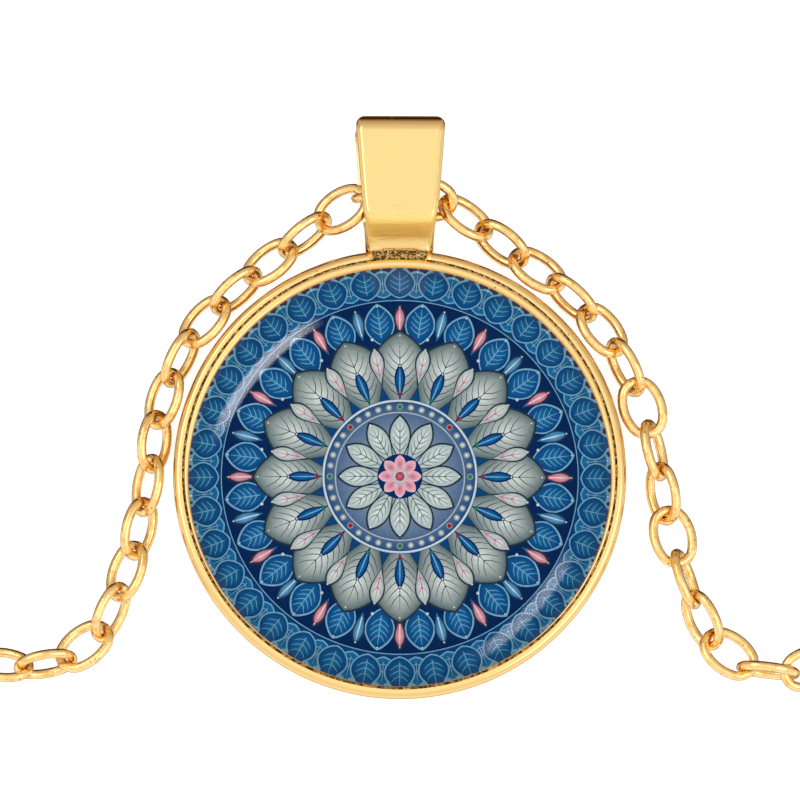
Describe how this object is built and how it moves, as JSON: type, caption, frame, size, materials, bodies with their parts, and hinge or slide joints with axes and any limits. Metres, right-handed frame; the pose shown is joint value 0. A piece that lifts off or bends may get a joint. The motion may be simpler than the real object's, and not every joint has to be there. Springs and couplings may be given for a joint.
{
  "type": "cabochon pendant necklace",
  "caption": "A round domed-glass cabochon pendant in a gold-tone tray with a strap bail, on a closed gold-tone cable chain with an oval clasp, lying flat.",
  "frame": {"origin": "the centre of the tray's flat back, on the plane that the pendant lies on", "axes": "+Z out of the pendant's face, +Y from the tray's centre to its bail, +X to the right seen from the front"},
  "size_m": [0.1248, 0.1394, 0.0068],
  "materials": {
    "gold_plated_casting": "polished gold-tone plating over a cast zinc tray",
    "gold_plated_wire": "polished gold-tone plating over drawn wire",
    "printed_card": "colour print on thin card",
    "clear_glass": "clear polished domed glass"
  },
  "bodies": {
    "root": {"tray_with_bail": "gold_plated_casting", "printed_card": "printed_card", "glass_cabochon": "clear_glass", "chain": "gold_plated_wire", "clasp": "gold_plated_wire"}
  },
  "joints": []
}
